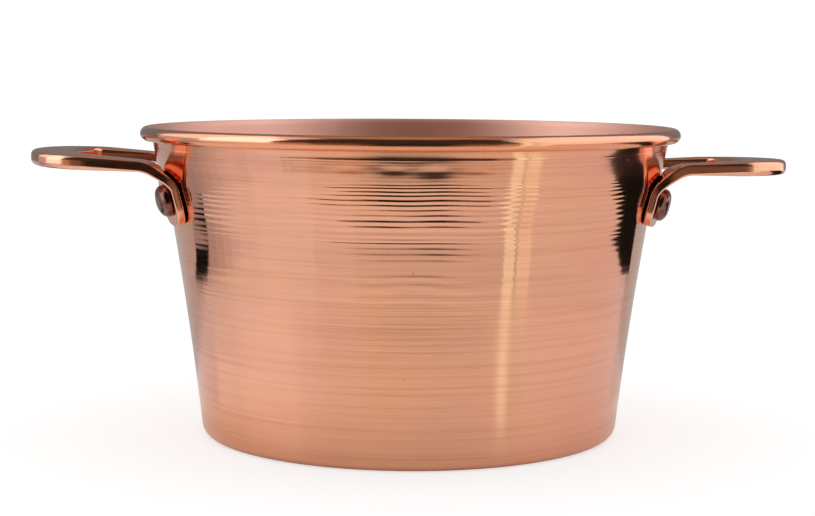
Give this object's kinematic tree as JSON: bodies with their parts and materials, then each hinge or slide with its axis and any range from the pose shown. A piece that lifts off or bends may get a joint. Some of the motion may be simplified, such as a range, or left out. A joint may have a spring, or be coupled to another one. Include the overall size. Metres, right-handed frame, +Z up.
{
  "type": "copper preserving pot",
  "caption": "Open tapered copper cooking pot with a wired rolled rim and two flat strap handles riveted to the wall.",
  "frame": {"origin": "middle of the flat underside, on the surface the pot stands on", "axes": "+Z up along the pot's axis, +X through the middle of the right handle, so the front of the picture is at -Y"},
  "size_m": [0.3356, 0.24, 0.1374],
  "materials": {
    "pot_copper": "spun and polished copper, unlined, with fine turning rings",
    "handle_copper": "polished copper strap with a worn satin top",
    "rivet_copper": "hammered copper, duller and redder than the rest",
    "rim_wire_steel": "drawn steel wire, hidden in the rolled rim"
  },
  "bodies": {
    "root": {"pot_body": "pot_copper", "rim_wire": "rim_wire_steel", "left_handle": "handle_copper", "right_handle": "handle_copper", "left_front_rivet": "rivet_copper", "left_rear_rivet": "rivet_copper", "right_front_rivet": "rivet_copper", "right_rear_rivet": "rivet_copper"}
  },
  "joints": []
}
